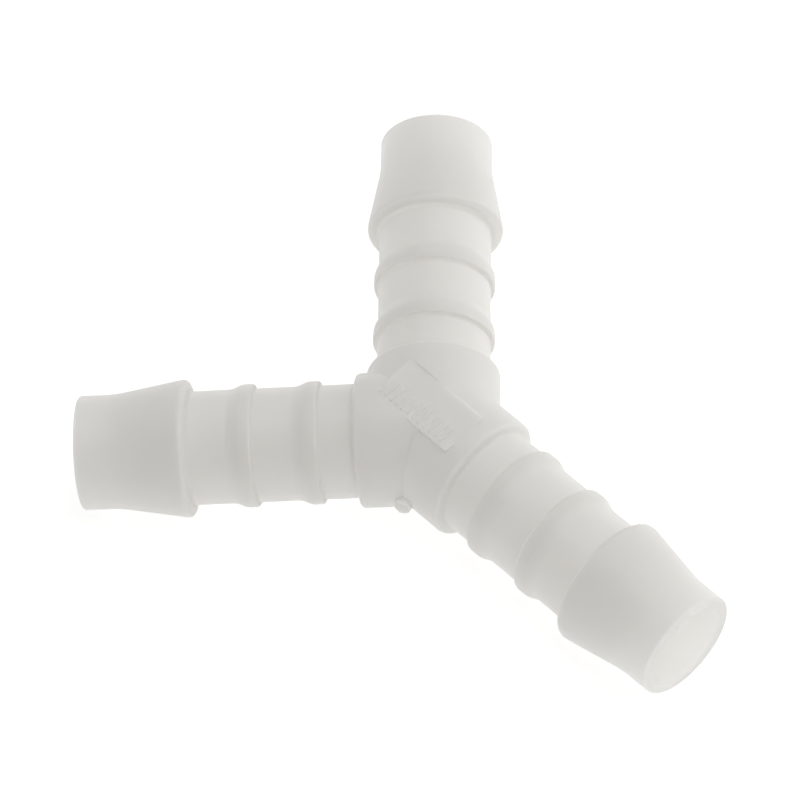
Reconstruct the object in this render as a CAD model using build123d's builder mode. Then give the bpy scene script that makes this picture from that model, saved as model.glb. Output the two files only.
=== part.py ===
"""Barbed Y connector for soft tubing, moulded in one piece of natural plastic.

Three hollow arms of one pattern meet at a hub.  The stem comes in along +Y and
splits into two branches that leave at half the fork angle to each side of it.
All three axes lie on the mould's parting plane, Z = 0.  Each arm carries two
low beads and an end barb: their steep faces look at the hub, so tubing slides
on over the ramps and is held against pulling off.

The origin is the centre of the stem's mouth, and +Y runs from there to the hub.
"""

import os
from math import cos, radians, sin

from build123d import *

# Layout (millimetres and degrees)
fork_angle = 90.0  # between the two branches
stem_length = 31.0  # hub centre to the stem's mouth
branch_length = 31.0  # hub centre to each branch's mouth

# Tube of every arm
tube_radius = 5.0  # the tubing's nominal bore is twice this
wall = 1.0

# Tip and barb, lengths measured in from the mouth
tip_step = 0.03  # pilot land above the tube, which starts the tubing straight
tip_length = 3.25
tip_round = 0.3
mouth_round = 0.25
barb_height = 1.05  # above the tube
barb_length = 9.8  # mouth to the barb's holding face
barb_round = 0.5
barb_land = 0.15  # crest left between the rounding and the cone

# Beads, steep face first, between the collar and the barb
bead_count = 2
bead_gap = 3.2  # collar to the first bead's steep face
bead_height = 0.4  # above the tube
bead_land = 1.1
bead_ramp = 0.9
bead_round = 0.22
root_round = 0.2  # inside corners along the tube

# Hub
collar_height = 0.9  # above the tube
collar_length = 6.45
collar_round = 0.4
pad_width = 4.5  # flat marking pad on the hub's upper side
pad_length = 9.0
pad_rise = 0.1  # above the collars' crest line
pad_offset = -0.3  # pad centre from the hub centre, towards the branches
pad_corner = 0.3
pad_edge = 0.06

# Gate stub left in the crook between the stem and the left branch
gate_radius = 0.8
gate_stand = 0.95  # past the crook's corner

bore_radius = tube_radius - wall
tip_radius = tube_radius + tip_step
barb_radius = tube_radius + barb_height
bead_radius = tube_radius + bead_height
collar_radius = tube_radius + collar_height
hub_centre = Vector(0, stem_length, 0)
half_fork = fork_angle / 2


def arm_plane(turn):
    """Return a plane at the hub centre whose x runs out along an arm.

    turn is the arm's angle from +X, counter-clockwise seen from +Z.
    """
    along = Vector(cos(radians(turn)), sin(radians(turn)), 0)
    return Plane(origin=hub_centre, x_dir=along, z_dir=(0, 0, 1))


# Each arm's plane and its length from the hub centre
arms = (
    (arm_plane(-90), stem_length),
    (arm_plane(90 - half_fork), branch_length),
    (arm_plane(90 + half_fork), branch_length),
)


def arm_corners(length):
    """Return an arm's half outline as corners (x, y) with a rounding each."""
    barb_face = length - barb_length
    first_bead = collar_length + bead_gap
    bead_pitch = (barb_face - first_bead) / bead_count
    corners = [
        ((0, 0), 0),
        ((0, collar_radius), 0),
        ((collar_length, collar_radius), collar_round),
        ((collar_length, tube_radius), root_round),
    ]
    for bead in range(bead_count):
        face = first_bead + bead * bead_pitch
        corners += [
            ((face, tube_radius), root_round),
            ((face, bead_radius), bead_round),
            ((face + bead_land, bead_radius), 0),
            ((face + bead_land + bead_ramp, tube_radius), 0),
        ]
    corners += [
        ((barb_face, tube_radius), root_round),
        ((barb_face, barb_radius), barb_round),
        ((barb_face + barb_round + barb_land, barb_radius), 0),
        ((length - tip_length, tip_radius), 0),
        ((length, tip_radius), tip_round),
        ((length, 0), 0),
    ]
    return corners


with BuildPart() as connector:
    # Outside of the arms, which mitre together at the hub
    for plane, length in arms:
        corners = arm_corners(length)
        with BuildSketch(plane):
            with BuildLine():
                FilletPolyline(
                    [point for point, _ in corners],
                    radius=[rounding for _, rounding in corners],
                    close=True,
                )
            make_face()
        revolve(axis=Axis(plane.origin, plane.x_dir))

    # Marking pad, a block that rises from inside the hub
    pad_centre = hub_centre + Vector(0, pad_offset, 0)
    with BuildSketch(Plane(origin=pad_centre)):
        RectangleRounded(pad_width, pad_length, pad_corner)
    extrude(amount=collar_radius + pad_rise)
    pad_face = connector.faces().filter_by(Plane.XY).sort_by(Axis.Z)[-1]
    fillet(pad_face.edges(), pad_edge)

    # Gate stub, along the line that halves the crook between stem and branch
    crook_half = (180 - half_fork) / 2
    crook_corner = collar_radius / sin(radians(crook_half))
    gate_line = arm_plane(90 + half_fork + crook_half).x_dir
    with BuildSketch(Plane(origin=hub_centre, z_dir=gate_line)):
        Circle(gate_radius)
    extrude(amount=crook_corner + gate_stand)

    # Passages, one down each arm to the hub centre
    for plane, length in arms:
        with BuildSketch(Plane(origin=plane.origin, z_dir=plane.x_dir)):
            Circle(bore_radius)
        extrude(amount=length, mode=Mode.SUBTRACT)

    # Soft edge round the inside of each mouth
    for plane, length in arms:
        mouth = plane.origin + plane.x_dir * length
        rims = connector.edges().filter_by(GeomType.CIRCLE)
        inner_rim = rims.sort_by(lambda edge: (edge.arc_center - mouth).length + edge.radius)[0]
        fillet(inner_rim, mouth_round)

connector.part.label = "connector"

os.makedirs("parts", exist_ok=True)
export_step(connector.part, "parts/connector.step")
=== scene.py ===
"""Looks of the barbed Y connector: one moulding of natural plastic on a pale studio floor.

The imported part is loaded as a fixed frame.  The moulding that stands for it here has the same
sizes, with the soft corners, the clipped gate and the marking bars of a moulded part.  Sizes are
in millimetres until a piece is finished, and in metres from then on.
"""

import logging
import math
from dataclasses import dataclass, field
from enum import Enum
from itertools import combinations
from typing import Any, Sequence

import bmesh
import bpy
from mathutils import Matrix, Vector


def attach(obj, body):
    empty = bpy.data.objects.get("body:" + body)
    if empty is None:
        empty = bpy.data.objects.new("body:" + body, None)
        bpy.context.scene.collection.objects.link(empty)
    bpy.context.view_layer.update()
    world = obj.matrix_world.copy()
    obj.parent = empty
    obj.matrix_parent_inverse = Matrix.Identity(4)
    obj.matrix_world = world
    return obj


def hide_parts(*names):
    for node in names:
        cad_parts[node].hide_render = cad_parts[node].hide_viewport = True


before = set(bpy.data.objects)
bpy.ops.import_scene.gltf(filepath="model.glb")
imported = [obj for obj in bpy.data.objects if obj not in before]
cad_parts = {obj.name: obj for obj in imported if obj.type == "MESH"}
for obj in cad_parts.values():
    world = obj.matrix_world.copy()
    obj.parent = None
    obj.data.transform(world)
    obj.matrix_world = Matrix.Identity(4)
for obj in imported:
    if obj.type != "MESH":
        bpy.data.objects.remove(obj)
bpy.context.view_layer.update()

log = logging.getLogger("y_connector")
MILLIMETRE = 0.001
SHARP_FROM = 25.0  # degrees between two faces
LARGE_FACE_WEIGHT = 80  # of 100

Colour = tuple[float, float, float, float]


class Arm(Enum):
    """The three arms, each by its angle from +X, counter-clockwise seen from above."""

    STEM = -90.0
    RIGHT_BRANCH = 45.0
    LEFT_BRANCH = 135.0

    @property
    def direction(self) -> Vector:
        """Return the unit vector that runs out along the arm."""
        turn = math.radians(self.value)
        return Vector((math.cos(turn), math.sin(turn), 0.0))


@dataclass(frozen=True)
class Corner:
    """One corner of an arm's section, in millimetres.

    Args:
        along: distance from the hub centre along the arm.
        out: distance from the arm's axis.
        cut: how far the corner's rounding reaches along each of its two edges.
        steps: how many straight pieces the rounding is made of.
    """

    along: float
    out: float
    cut: float = 0.0
    steps: int = 5


@dataclass(frozen=True)
class ArmSection:
    """Half section of an arm, from the hub out along the outside and back down the passage.

    Bore, tube, tip, barb, bead and collar are radii.  A "foot" rounds the inside corner under
    a step, and a "round" the corner on top of it.
    """

    length: float = 31.0
    past_centre: float = 1.0

    bore: float = 4.0
    tube: float = 5.0

    tip: float = 5.03
    tip_length: float = 3.25
    tip_round: float = 0.3
    mouth_round: float = 0.25
    mouth_steps: int = 6

    barb: float = 6.05
    barb_length: float = 9.8
    barb_land: float = 0.65
    barb_foot: float = 0.35
    barb_round: float = 0.5
    barb_steps: int = 7
    cone_start_round: float = 0.14
    cone_end_round: float = 0.8

    bead: float = 5.4
    bead_count: int = 2
    bead_gap: float = 3.2
    bead_land: float = 1.1
    bead_ramp: float = 0.9
    bead_foot: float = 0.2
    bead_round: float = 0.22
    ramp_start_round: float = 0.25
    ramp_end_round: float = 0.3

    collar: float = 5.9
    collar_length: float = 6.45
    collar_foot: float = 0.3
    collar_round: float = 0.4
    collar_steps: int = 6

    @property
    def barb_face(self) -> float:
        """Return how far from the hub's centre the barb's holding face is."""
        return self.length - self.barb_length

    def corners(self) -> list[Corner]:
        """Return the corners in order.

        Returns:
            The outside corners from the hub to the tip, then the passage's from mouth to hub.
        """
        first_bead = self.collar_length + self.bead_gap
        pitch = (self.barb_face - first_bead) / self.bead_count
        found = [
            Corner(-self.past_centre, self.collar),
            Corner(self.collar_length, self.collar, self.collar_round, self.collar_steps),
            Corner(self.collar_length, self.tube, self.collar_foot),
        ]
        for number in range(self.bead_count):
            face = first_bead + number * pitch
            ramp = face + self.bead_land
            found += [
                Corner(face, self.tube, self.bead_foot),
                Corner(face, self.bead, self.bead_round),
                Corner(ramp, self.bead, self.ramp_start_round),
                Corner(ramp + self.bead_ramp, self.tube, self.ramp_end_round),
            ]
        found += [
            Corner(self.barb_face, self.tube, self.barb_foot),
            Corner(self.barb_face, self.barb, self.barb_round, self.barb_steps),
            Corner(self.barb_face + self.barb_land, self.barb, self.cone_start_round),
            Corner(self.length - self.tip_length, self.tip, self.cone_end_round),
            Corner(self.length, self.tip, self.tip_round, self.mouth_steps),
            Corner(self.length, self.bore, self.mouth_round, self.mouth_steps),
            Corner(-self.past_centre, self.bore),
        ]
        return found


@dataclass(frozen=True)
class WallNotes:
    """How much painted shade the wall's thickness gives, and how freely light passes it, at any
    place on the moulding.

    The shade share runs from 0 on the plain tube to 1 at the barb: a thick wall is painted
    darker and a thin wall lighter, which paints the light that comes through a thin wall.
    Passing is 1 in the bores and 0 on most of the outside.  The material's colour and clearness
    follow them.

    Args:
        section: the section that the arms are spun from.
        slack: how near a face a point has to be to count as on it.
        hub_shade_share: share of painted shade on the collars and on the pad let into them.
        hub_fade: height above the tube over which the collar's foot grows to that.
        hub_margin: how far past the collar's end a point still counts as the hub's.
        barb_least: share of painted shade at the tip, where the wall is thinnest between barb
            and mouth.
        bead_gain: how many times faster a bead's painted shade grows with its height than the
            barb's.
        ring_lip: height above the bore from which the mouth's flat ring has full painted shade.
        ring_depth: how near the mouth's plane that ring is.
        rim_depth: how far in from the mouth its rounded rim reaches.
        rim_passing: passing on that rim.
        turn_start: share of a face's normal towards the hub from which it passes light.
        turn_span: further share over which that grows to the full amount.
        foot_height: height above the tube up to which a step counts as its foot.
        upper_part: what part of the foot's passing a step has above that height.
        step_passing: passing at the foot of a steep face.
        gate_passing: passing on the gate stub.
        gate_top: height under which a point past the collars is the gate's.
        gate_along: distance along the nearest arm that the gate stays within.
    """

    section: ArmSection
    slack: float = 0.1
    hub_shade_share: float = 0.45
    hub_fade: float = 0.5
    hub_margin: float = 0.05
    barb_least: float = 0.8
    bead_gain: float = 2.4
    ring_lip: float = 0.2
    ring_depth: float = 0.01
    rim_depth: float = 0.28
    rim_passing: float = 0.6
    turn_start: float = 0.1
    turn_span: float = 0.3
    foot_height: float = 0.25
    upper_part: float = 0.5
    step_passing: float = 0.95
    gate_passing: float = 0.9
    gate_top: float = 2.0
    gate_along: float = 6.0

    def on_hub(self, along: float) -> bool:
        """Return whether a point is on the hub, given its distance along the nearest arm."""
        return along < self.section.collar_length + self.hub_margin

    def shaded_tint_share(self, along: float, out: float) -> float:
        """Work out the share of painted shade that the wall's thickness gives here.

        Args:
            along: distance from the hub's centre along the nearest arm.
            out: distance from that arm's axis.

        Returns:
            The share of painted shade, from 0 to 1.
        """
        section = self.section
        if self.on_hub(along):
            return self.hub_shade_share * clamp((out - section.tube) / self.hub_fade)
        if along > section.length - self.ring_depth and out > section.bore + self.ring_lip:
            return 1.0
        height = clamp((out - section.tube) / (section.barb - section.tube))
        if along > section.barb_face and out > section.tube - self.slack:
            return self.barb_least + (1.0 - self.barb_least) * height
        return min(self.bead_gain * height, 1.0)

    def hub_facing(self, along: float, out: float, turned: float) -> float:
        """Work out how far a point is on a steep face that looks at the hub.

        Args:
            along: distance from the hub's centre along the nearest arm.
            out: distance from that arm's axis.
            turned: the share of the point's normal that runs out along the arm.

        Returns:
            1 at the foot of a steep face, and 0 on the hub and on level faces.
        """
        if self.on_hub(along):
            return 0.0
        facing = clamp((-self.turn_start - turned) / self.turn_span)
        above_foot = out > self.section.tube + self.foot_height
        return facing * self.upper_part if above_foot else facing

    def at(self, place: Vector, normal: Vector) -> tuple[float, float]:
        """Work out both notes for a point.

        Args:
            place: the point, in millimetres from the hub's centre.
            normal: the point's normal.

        Returns:
            The share of painted shade and the passing.
        """
        section = self.section
        nearest = max((arm.direction for arm in Arm), key=place.dot)
        along = place.dot(nearest)
        out = math.sqrt(max(place.length_squared - along * along, 0.0))
        past_collar = out > section.collar + self.slack
        # The gate stub gets no painted shade: it is painted as light as the thin tube.
        if past_collar and place.z < self.gate_top and along < self.gate_along:
            return 0.0, self.gate_passing
        facing = self.hub_facing(along, out, normal.dot(nearest))
        # Steep faces that look at the hub lose their painted shade, so they are painted lighter.
        painted_shade = self.shaded_tint_share(along, out) * (1.0 - facing)
        if out < section.bore + self.slack:
            return painted_shade, 1.0
        if along > section.length - self.rim_depth:
            return painted_shade, self.rim_passing
        return painted_shade, self.step_passing * facing


@dataclass
class Moulding:
    """The whole connector as one closed skin that stands for the CAD node.

    The pad is a flat let into the collars' crests, with a row of plain bars on it.  The gate is
    the stub that the runner leaves in the crook between the stem and the left branch.

    Args:
        section: the section that the arms are spun from.
        stem_length: distance from the stem's mouth to the hub's centre.
        turns: how many straight pieces go once round an arm.
        cut_tolerance: how near a cutting plane a point counts as on it.
        weld_distance: how near two points are merged.
        near: how near a plane or a height a point counts as on it.
        crease: how far the softening of a hub crease reaches to each side.
        crease_steps: how many straight pieces it is made of.
        crease_least: how far from the hub's centre, half way between two arms, it begins.
        pad_size: the pad's width and length.
        pad_offset: how far the pad's centre lies from the hub's, along the stem.
        pad_top: height of the pad's flat.
        pad_foot: height of the underside of the block that carries it.
        pad_corner: rounding of the pad's corners, seen from above.
        pad_corner_steps: how many straight pieces that is made of.
        pad_spare: how far the block stands past the flat before it is cut.
        pad_cut_height: height of what cuts it.
        pad_cut_margin: how far that stands out past the pad's outline.
        mark_count: number of bars.
        mark_size: each bar's width, thickness and height.
        mark_first: place of the first bar's centre from the hub's, across and along.
        mark_pitch: distance from bar to bar.
        mark_sunk: how far the bars reach down into the pad.
        mark_round: rounding of a bar's top edges.
        mark_steps: how many straight pieces that is made of.
        gate_radius: radius of the gate at its clipped end.
        gate_flare: how many times wider it is at its root.
        gate_sides: how many straight pieces go once round it.
        gate_turn: its angle from +X, in degrees.
        gate_below: how far its axis lies below the parting plane.
        gate_from: distance of its root from the hub's centre.
        gate_stand: distance of its end from there.
        gate_slants: directions that the clipped faces look in, before it is turned.
        gate_clip: how much is clipped off its middle.
    """

    section: ArmSection = field(default_factory=ArmSection)
    stem_length: float = 31.0
    turns: int = 128

    cut_tolerance: float = 1e-5
    weld_distance: float = 1e-3
    near: float = 0.01

    crease: float = 0.45
    crease_steps: int = 4
    crease_least: float = 0.5

    pad_size: tuple[float, float] = (4.5, 9.0)
    pad_offset: float = -0.3
    pad_top: float = 5.78
    pad_foot: float = 4.9
    pad_corner: float = 0.3
    pad_corner_steps: int = 5
    pad_spare: float = 0.2
    pad_cut_height: float = 1.0
    pad_cut_margin: float = 0.04

    mark_count: int = 12
    mark_size: tuple[float, float, float] = (1.65, 0.3, 0.12)
    mark_first: tuple[float, float] = (-1.1, 3.85)
    mark_pitch: float = 0.68
    mark_sunk: float = 0.3
    mark_round: float = 0.084
    mark_steps: int = 2

    gate_radius: float = 0.72
    gate_flare: float = 1.3
    gate_sides: int = 32
    gate_turn: float = 202.5
    gate_below: float = 0.85
    gate_from: float = 5.2
    gate_stand: float = 7.25
    gate_slants: tuple[tuple[float, float, float], ...] = ((0.14, 0.05, 1.0), (-0.10, 0.12, 1.0))
    gate_clip: float = 0.12

    @property
    def hub(self) -> Vector:
        """Return the hub's centre."""
        return Vector((0.0, self.stem_length, 0.0))

    def arm(self, arm: Arm) -> bmesh.types.BMesh:
        """Spin one arm and trim it to its share of the hub.

        Args:
            arm: which of the three arms to make.

        Returns:
            The arm in place, open along the planes where it meets the other two.
        """
        skin = bmesh.new()
        corners = self.section.corners()
        points = [skin.verts.new((corner.along, 0.0, corner.out)) for corner in corners]
        for start, end in zip(points, points[1:]):
            skin.edges.new((start, end))
        for corner, point in zip(corners, points):
            if corner.cut:
                bmesh.ops.bevel(
                    skin, geom=[point], offset=corner.cut, offset_type="OFFSET",
                    segments=corner.steps, profile=0.5, affect="VERTICES", material=-1,
                )
        bmesh.ops.spin(
            skin, geom=skin.verts[:] + skin.edges[:], cent=(0, 0, 0), axis=(1, 0, 0),
            dvec=(0, 0, 0), angle=2 * math.pi, steps=self.turns, use_merge=True,
        )
        place = Matrix.Translation(self.hub) @ Matrix.Rotation(math.radians(arm.value), 4, "Z")
        bmesh.ops.transform(skin, matrix=place, verts=skin.verts)
        for other in Arm:
            if other is not arm:
                bmesh.ops.bisect_plane(
                    skin, geom=skin.verts[:] + skin.edges[:] + skin.faces[:],
                    dist=self.cut_tolerance, plane_co=self.hub,
                    plane_no=other.direction - arm.direction, clear_outer=True,
                )
        return skin

    def tube(self) -> bmesh.types.BMesh:
        """Join the three arms along the planes where they meet.

        Returns:
            One closed skin, with its hub creases softened and its faces outwards.
        """
        whole = bmesh.new()
        for arm in Arm:
            skin = self.arm(arm)
            part = bpy.data.meshes.new(arm.name)
            skin.to_mesh(part)
            skin.free()
            whole.from_mesh(part)
            bpy.data.meshes.remove(part)
        bmesh.ops.remove_doubles(whole, verts=whole.verts, dist=self.weld_distance)
        bmesh.ops.bevel(
            whole, geom=self.creases(whole), offset=self.crease, offset_type="OFFSET",
            segments=self.crease_steps, profile=0.5, affect="EDGES", material=-1,
            clamp_overlap=True,
        )
        bmesh.ops.recalc_face_normals(whole, faces=whole.faces)
        return whole

    def creases(self, whole: bmesh.types.BMesh) -> list[bmesh.types.BMEdge]:
        """Find the outside edges where two arms meet.

        Args:
            whole: the joined arms.

        Returns:
            The edges, without the stretch near the top and bottom where the arms run level.
        """
        meetings = [
            ((other.direction - arm.direction).normalized(),
             (other.direction + arm.direction).normalized())
            for arm, other in combinations(Arm, 2)
        ]
        found = []
        for edge in whole.edges:
            places = [point.co - self.hub for point in edge.verts]
            if any(
                all(self.on_crease(place, across, along) for place in places)
                for across, along in meetings
            ):
                found.append(edge)
        return found

    def on_crease(self, place: Vector, across: Vector, along: Vector) -> bool:
        """Test whether a point is on the outside edge where two arms meet.

        Args:
            place: the point, from the hub's centre.
            across: the direction square to the plane in which the two arms meet.
            along: the direction half way between the two arms.

        Returns:
            Whether it is on that edge and far enough down it.
        """
        return (
            abs(place.dot(across)) < self.near
            and place.dot(along) > self.crease_least
            and place.length > self.section.collar - self.near
        )

    def pad(self, low: float, high: float, margin: float = 0.0) -> bmesh.types.BMesh:
        """Make a block on the marking pad's outline.

        Args:
            low: the height of its underside.
            high: the height of its top.
            margin: how far it stands out past the pad's outline.

        Returns:
            The block, with its upright corners rounded.
        """
        block = bmesh.new()
        bmesh.ops.create_cube(block, size=1.0)
        width, length = (side + 2 * margin for side in self.pad_size)
        bmesh.ops.scale(block, vec=(width, length, high - low), verts=block.verts)
        upright = [e for e in block.edges if abs(e.verts[0].co.z - e.verts[1].co.z) > self.near]
        bmesh.ops.bevel(
            block, geom=upright, offset=self.pad_corner + margin, offset_type="OFFSET",
            segments=self.pad_corner_steps, profile=0.5, affect="EDGES", material=-1,
        )
        centre = self.hub + Vector((0.0, self.pad_offset, (high + low) / 2))
        bmesh.ops.translate(block, vec=centre, verts=block.verts)
        return block

    def marks(self) -> bmesh.types.BMesh:
        """Make the row of plain raised bars that stands on one half of the pad."""
        row = bmesh.new()
        wide, thick, rise = self.mark_size
        across, start = self.mark_first
        for number in range(self.mark_count):
            bar = bmesh.ops.create_cube(row, size=1.0)["verts"]
            bmesh.ops.scale(row, vec=(wide, thick, rise + self.mark_sunk), verts=bar)
            place = Vector((across, start - number * self.mark_pitch, 0.0))
            place.z = self.pad_top + (rise - self.mark_sunk) / 2
            bmesh.ops.translate(row, vec=self.hub + place, verts=bar)
        rim = [e for e in row.edges if all(v.co.z > self.pad_top for v in e.verts)]
        bmesh.ops.bevel(
            row, geom=rim, offset=self.mark_round, offset_type="OFFSET",
            segments=self.mark_steps, profile=0.5, affect="EDGES", material=-1,
        )
        return row

    def gate(self) -> bmesh.types.BMesh:
        """Make the gate stub, clipped off unevenly as a cutter leaves it."""
        stub = bmesh.new()
        depth = self.gate_stand - self.gate_from
        bmesh.ops.create_cone(
            stub, cap_ends=True, segments=self.gate_sides,
            radius1=self.gate_radius * self.gate_flare, radius2=self.gate_radius, depth=depth,
        )
        tip = Vector((0.0, 0.0, depth / 2 - self.gate_clip))
        for slant in self.gate_slants:
            cut = bmesh.ops.bisect_plane(
                stub, geom=stub.verts[:] + stub.edges[:] + stub.faces[:],
                dist=self.cut_tolerance, plane_co=tip, plane_no=slant, clear_outer=True,
            )
            rim = [e for e in cut["geom_cut"] if isinstance(e, bmesh.types.BMEdge)]
            bmesh.ops.holes_fill(stub, edges=rim)
        turn = math.radians(self.gate_turn)
        along = Vector((math.cos(turn), math.sin(turn), 0.0))
        middle = self.hub + along * (self.gate_stand + self.gate_from) / 2
        middle.z -= self.gate_below
        place = Matrix.Translation(middle) @ along.to_track_quat("Z", "Y").to_matrix().to_4x4()
        bmesh.ops.transform(stub, matrix=place, verts=stub.verts)
        bmesh.ops.recalc_face_normals(stub, faces=stub.faces)
        return stub

    def build(self) -> bpy.types.Object:
        """Fuse the tube, the pad, its bars and the gate into the finished piece."""
        piece = as_object("connector_moulding", self.tube())
        block = self.pad(self.pad_foot, self.pad_top + self.pad_spare)
        cutter = self.pad(self.pad_top, self.pad_top + self.pad_cut_height, self.pad_cut_margin)
        combine(piece, as_object("pad", block), "UNION")
        combine(piece, as_object("pad_cutter", cutter), "DIFFERENCE")
        combine(piece, as_object("marks", self.marks()), "UNION")
        combine(piece, as_object("gate", self.gate()), "UNION")
        self.note_walls(piece)
        soften(piece)
        return piece

    def note_walls(self, piece: bpy.types.Object) -> None:
        """Write the wall notes, painted shade and passing, to the piece's points, for the
        material to read.
        """
        notes = WallNotes(self.section)
        attributes = piece.data.attributes
        for name in ("shaded_tint_share", "passing"):
            attributes.new(name, "FLOAT", "POINT")
        stouts, passings = attributes["shaded_tint_share"].data, attributes["passing"].data
        for point, painted_shade, passing in zip(piece.data.vertices, stouts, passings):
            place = point.co / MILLIMETRE - self.hub
            painted_shade.value, passing.value = notes.at(place, point.normal)


def clamp(value: float) -> float:
    """Return a value held between 0 and 1."""
    return min(max(value, 0.0), 1.0)


def as_object(name: str, skin: bmesh.types.BMesh) -> bpy.types.Object:
    """Turn a bmesh in millimetres into an object in metres at the origin.

    Args:
        name: the object's name.
        skin: the shape, freed afterwards.

    Returns:
        The object, linked to the scene.
    """
    bmesh.ops.scale(skin, vec=(MILLIMETRE,) * 3, verts=skin.verts)
    mesh = bpy.data.meshes.new(name)
    skin.to_mesh(mesh)
    skin.free()
    piece = bpy.data.objects.new(name, mesh)
    bpy.context.scene.collection.objects.link(piece)
    return piece


def bake_modifiers(piece: bpy.types.Object) -> None:
    """Apply a piece's modifiers to its mesh."""
    graph = bpy.context.evaluated_depsgraph_get()
    mesh = bpy.data.meshes.new_from_object(piece.evaluated_get(graph))
    piece.modifiers.clear()
    old = piece.data
    piece.data = mesh
    bpy.data.meshes.remove(old)


def combine(piece: bpy.types.Object, other: bpy.types.Object, how: str) -> None:
    """Join another closed shape to a piece, or cut it away, so that one skin is left.

    Args:
        piece: the object that changes.
        other: the object that is joined or cut away, removed afterwards.
        how: the Boolean modifier's operation.
    """
    step = piece.modifiers.new("combine", "BOOLEAN")
    step.operation = how
    step.solver = "EXACT"
    step.object = other
    bake_modifiers(piece)
    bpy.data.objects.remove(other)


def soften(piece: bpy.types.Object) -> None:
    """Shade a piece smooth up to SHARP_FROM, with normals that follow its larger faces."""
    for face in piece.data.polygons:
        face.use_smooth = True
    piece.data.set_sharp_from_angle(angle=math.radians(SHARP_FROM))
    weigh = piece.modifiers.new("follow_large_faces", "WEIGHTED_NORMAL")
    weigh.keep_sharp = True
    weigh.weight = LARGE_FACE_WEIGHT


class Value:
    """A shader socket that takes part in Python sums, each of which adds a Math node."""

    def __init__(self, wiring: "Wiring", socket: bpy.types.NodeSocket) -> None:
        """Hold a socket and the wiring that it belongs to."""
        self.wiring = wiring
        self.socket = socket

    def _math(self, operation: str, other: Any) -> "Value":
        """Add a Math node.

        Args:
            operation: the Math node's operation.
            other: its second value, a number or a Value; the first is this one.

        Returns:
            The node's result.
        """
        return self.wiring.node("ShaderNodeMath", {"operation": operation}, {0: self, 1: other})

    def __add__(self, other: Any) -> "Value":
        """Return self + other."""
        return self._math("ADD", other)

    __radd__ = __add__

    def __mul__(self, other: Any) -> "Value":
        """Return self * other."""
        return self._math("MULTIPLY", other)

    __rmul__ = __mul__


class Wiring:
    """A material's node tree, with one method that adds any node."""

    def __init__(self, name: str) -> None:
        """Make an empty node material of that name."""
        self.material = bpy.data.materials.new(name)
        self.material.use_nodes = True
        self.tree = self.material.node_tree
        self.tree.nodes.clear()

    def node(
        self, kind: str, settings: dict[str, Any] | None = None,
        inputs: dict[Any, Any] | None = None, output: int | str = 0,
    ) -> Value:
        """Add a node.

        Args:
            kind: the node's type name.
            settings: properties of the node, set first.
            inputs: sockets by name or number, each a Value to link or a constant to set.
            output: the socket to return.

        Returns:
            The chosen output.
        """
        made = self.tree.nodes.new(kind)
        for name, value in (settings or {}).items():
            setattr(made, name, value)
        for name, value in (inputs or {}).items():
            socket = self.pick(made.inputs, name)
            if isinstance(value, Value):
                self.tree.links.new(value.socket, socket)
            else:
                socket.default_value = value
        return Value(self, self.pick(made.outputs, output))

    @staticmethod
    def pick(sockets: Any, key: int | str) -> bpy.types.NodeSocket | None:
        """Find a socket among those in use.

        Args:
            sockets: a node's inputs or outputs.
            key: the socket's number, or its name.

        Returns:
            The socket, or None where the node has none.
        """
        if isinstance(key, int):
            return sockets[key] if len(sockets) else None
        return next(socket for socket in sockets if socket.name == key and socket.enabled)


@dataclass(frozen=True)
class Pattern:
    """One noise pattern on Object coordinates.

    Args:
        scale: how many times it repeats in a metre.
        detail: how many finer layers it has.
        roughness: how strong those layers are.
    """

    scale: float
    detail: float
    roughness: float

    def build(self, wiring: Wiring, place: Value) -> Value:
        """Add the pattern's node.

        Args:
            wiring: the material's wiring.
            place: the coordinates to read.

        Returns:
            The noise, from 0 to 1.
        """
        return wiring.node(
            "ShaderNodeTexNoise", None,
            {
                "Vector": place, "Scale": self.scale, "Detail": self.detail,
                "Roughness": self.roughness,
            },
        )


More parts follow.
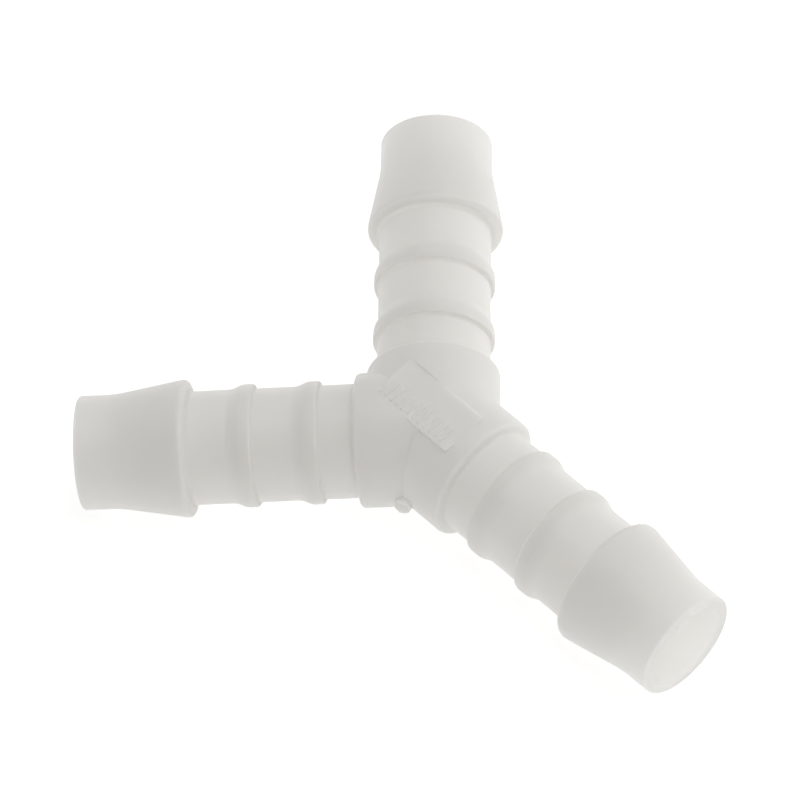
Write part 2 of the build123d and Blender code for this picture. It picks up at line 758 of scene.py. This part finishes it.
@dataclass(frozen=True)
class NaturalPlastic:
    """Undyed translucent plastic, satin from the mould.

    Args:
        clear: lighter colour where the wall is thin, painted light that comes through the thin
            wall.
        shaded_tint: darker colour where the wall is thick, painted shade.
        passed: tint of the light that comes through it.
        painted_shade_strength: how far the painted shade moves the colour from clear to
            shaded_tint.
        cloud_tint: how far the faint clouds in the plastic do.
        outer_share: share of the light that passes on the plain outside.
        inner_share: share of it that passes where passing is 1.
        roughness: roughness of the skin where the clouds and the grain are at their least.
        cloud_satin: change of roughness with the clouds.
        grain_satin: change of roughness with the fine grain.
        scatter_depth: how deep light goes before it scatters back, in metres.
        scatter_radius: that depth for red, green and blue, as parts of it.
        refraction: index of refraction.
        cloud: pattern of the clouds.
        ripple: pattern of the skin's slight waves.
        grain: pattern of the skin's fine grain.
        ripple_height: height of the waves in metres.
        ripple_strength: strength of their bump.
        grain_height: height of the grain in metres.
        grain_strength: strength of its bump.
    """

    # Painted light and shade: clear paints light coming through the thin wall, the next one
    # paints shade on the thick wall.
    clear: Colour = (0.880, 0.872, 0.856, 1.0)
    shaded_tint: Colour = (0.792, 0.782, 0.757, 1.0)
    passed: Colour = (0.985, 0.982, 0.972, 1.0)
    painted_shade_strength: float = 0.8
    cloud_tint: float = 0.3
    outer_share: float = 0.4
    inner_share: float = 0.95
    roughness: float = 0.25
    cloud_satin: float = 0.10
    grain_satin: float = 0.08
    scatter_depth: float = 0.0007
    scatter_radius: tuple[float, float, float] = (1.0, 0.96, 0.88)
    refraction: float = 1.5
    cloud: Pattern = Pattern(110.0, 3.0, 0.55)
    ripple: Pattern = Pattern(330.0, 2.0, 0.5)
    grain: Pattern = Pattern(5200.0, 2.0, 0.6)
    ripple_height: float = 0.00005
    ripple_strength: float = 0.35
    grain_height: float = 0.000006
    grain_strength: float = 0.3

    def build(self) -> bpy.types.Material:
        """Wire the material.

        Returns:
            The finished material.
        """
        w = Wiring("natural_plastic")
        place = w.node("ShaderNodeTexCoord", output="Object")
        painted_shade = w.node("ShaderNodeAttribute", {"attribute_name": "shaded_tint_share"}, output="Fac")
        passing = w.node("ShaderNodeAttribute", {"attribute_name": "passing"}, output="Fac")
        cloud, ripple, grain = (
            pattern.build(w, place) for pattern in (self.cloud, self.ripple, self.grain)
        )
        # Painted shade from the wall notes, with the plastic's own faint clouds on top, moves
        # the colour from clear towards the darker one.
        shaded_tint_share = painted_shade * self.painted_shade_strength + cloud * self.cloud_tint
        shade_and_cloud_tint = w.node(
            "ShaderNodeMix", {"data_type": "RGBA"},
            {"Factor": shaded_tint_share, "A": self.clear, "B": self.shaded_tint}, "Result",
        )
        satin = cloud * self.cloud_satin + grain * self.grain_satin + self.roughness
        wave = w.node(
            "ShaderNodeBump", None,
            {
                "Strength": self.ripple_strength, "Distance": self.ripple_height,
                "Height": ripple,
            },
        )
        skin = w.node(
            "ShaderNodeBump", None,
            {
                "Strength": self.grain_strength, "Distance": self.grain_height,
                "Height": grain, "Normal": wave,
            },
        )
        shader = w.node(
            "ShaderNodeBsdfPrincipled", {"subsurface_method": "RANDOM_WALK"},
            {
                "Base Color": shade_and_cloud_tint, "Roughness": satin, "Normal": skin,
                "IOR": self.refraction, "Subsurface Weight": 1.0,
                "Subsurface Radius": self.scatter_radius,
                "Subsurface Scale": self.scatter_depth, "Subsurface Anisotropy": 0.0,
            },
        )
        through = w.node(
            "ShaderNodeBsdfTranslucent", None, {"Color": self.passed, "Normal": skin}
        )
        share = passing * (self.inner_share - self.outer_share) + self.outer_share
        both = w.node("ShaderNodeMixShader", None, {0: share, 1: shader, 2: through})
        w.node("ShaderNodeOutputMaterial", None, {"Surface": both})
        return w.material


@dataclass(frozen=True)
class Softbox:
    """One square studio light that looks at the connector.

    Args:
        name: the light's name.
        around: its direction round the connector, in degrees counter-clockwise from +X.
        above: its angle above the floor, in degrees.
        power: its power in watts.
        size: the length of its sides in metres.
        distance: how far it hangs from the connector in metres.
    """

    name: str
    around: float
    above: float
    power: float
    size: float = 0.35
    distance: float = 0.6

    def build(self, target: Vector) -> bpy.types.Object:
        """Hang the light and turn it to a target.

        Args:
            target: the point that it looks at.

        Returns:
            The light.
        """
        lamp = bpy.data.lights.new(self.name, "AREA")
        lamp.shape = "SQUARE"
        lamp.size = self.size
        lamp.energy = self.power
        around, above = math.radians(self.around), math.radians(self.above)
        flat = math.cos(above)
        way = Vector((math.cos(around) * flat, math.sin(around) * flat, math.sin(above)))
        holder = bpy.data.objects.new(self.name, lamp)
        holder.location = target + way * self.distance
        holder.rotation_euler = way.to_track_quat("Z", "Y").to_euler()
        bpy.context.scene.collection.objects.link(holder)
        return holder


@dataclass
class Studio:
    """Floor, lights and camera.  Lengths are in metres, angles in degrees."""

    floor_height: float = -0.00605
    floor_size: float = 3.0
    floor_colour: Colour = (0.92, 0.92, 0.92, 1.0)
    floor_roughness: float = 0.9
    floor_glow: float = 0.543

    surround: Colour = (1.0, 1.0, 1.0, 1.0)
    surround_level: float = 0.35

    camera_place: tuple[float, float, float] = (-0.140036, -0.171497, 0.393548)
    camera_turn: tuple[float, float, float] = (31.9473, 6.29, -44.1344)
    camera_near: float = 0.01
    lens_millimetres: float = 239.3546
    sensor_millimetres: float = 36.0

    target: Vector = field(default_factory=lambda: Vector((0.0, 0.031, 0.0)))
    lights: Sequence[Softbox] = (
        Softbox("low_side", 330.0, 15.0, 0.385, 0.233, 0.4),
        Softbox("high_side", 0.0, 40.0, 0.126, 0.233, 0.4),
        Softbox("high_near", 300.0, 68.0, 0.68),
        Softbox("high_far", 60.0, 68.0, 0.35),
        Softbox("low_far", 90.0, 15.0, 0.276),
    )

    def floor(self) -> bpy.types.Object:
        """Lay the pale floor just under the connector's barbs."""
        sheet = bmesh.new()
        bmesh.ops.create_grid(sheet, x_segments=1, y_segments=1, size=self.floor_size / 2)
        bmesh.ops.translate(sheet, vec=(0.0, 0.0, self.floor_height), verts=sheet.verts)
        mesh = bpy.data.meshes.new("floor")
        sheet.to_mesh(mesh)
        sheet.free()
        floor = bpy.data.objects.new("floor", mesh)
        bpy.context.scene.collection.objects.link(floor)
        w = Wiring("pale_floor")
        shader = w.node(
            "ShaderNodeBsdfPrincipled", None,
            {
                "Base Color": self.floor_colour, "Roughness": self.floor_roughness,
                "Emission Color": self.floor_colour, "Emission Strength": self.floor_glow,
            },
        )
        w.node("ShaderNodeOutputMaterial", None, {"Surface": shader})
        mesh.materials.append(w.material)
        return floor

    def surroundings(self) -> None:
        """Set the even light that comes from all round."""
        world = bpy.data.worlds.new("surroundings")
        world.use_nodes = True
        sky = world.node_tree.nodes["Background"]
        sky.inputs["Color"].default_value = self.surround
        sky.inputs["Strength"].default_value = self.surround_level
        bpy.context.scene.world = world

    def camera(self) -> bpy.types.Object:
        """Set up the camera and make it the scene's."""
        data = bpy.data.cameras.new("camera")
        data.sensor_width = self.sensor_millimetres
        data.lens = self.lens_millimetres
        data.clip_start = self.camera_near
        holder = bpy.data.objects.new("camera", data)
        holder.location = self.camera_place
        holder.rotation_euler = [math.radians(turn) for turn in self.camera_turn]
        bpy.context.scene.collection.objects.link(holder)
        bpy.context.scene.camera = holder
        return holder

    def build(self) -> None:
        """Set up everything that isn't the connector."""
        self.floor()
        self.surroundings()
        self.camera()
        for light in self.lights:
            light.build(self.target)
            log.info("light %s", light.name)
        view = bpy.context.scene.view_settings
        view.view_transform = "Standard"
        view.look = "None"


def main() -> None:
    """Build the connector and the studio, and note the size of what shows."""
    logging.basicConfig(level=logging.INFO, format="%(name)s: %(message)s")
    piece = Moulding().build()
    piece.data.materials.clear()
    piece.data.materials.append(NaturalPlastic().build())
    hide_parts("connector")
    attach(piece, "root")
    log.info("piece %s: %d faces", piece.name, len(piece.data.polygons))
    Studio().build()


if __name__ == "__main__":
    main()
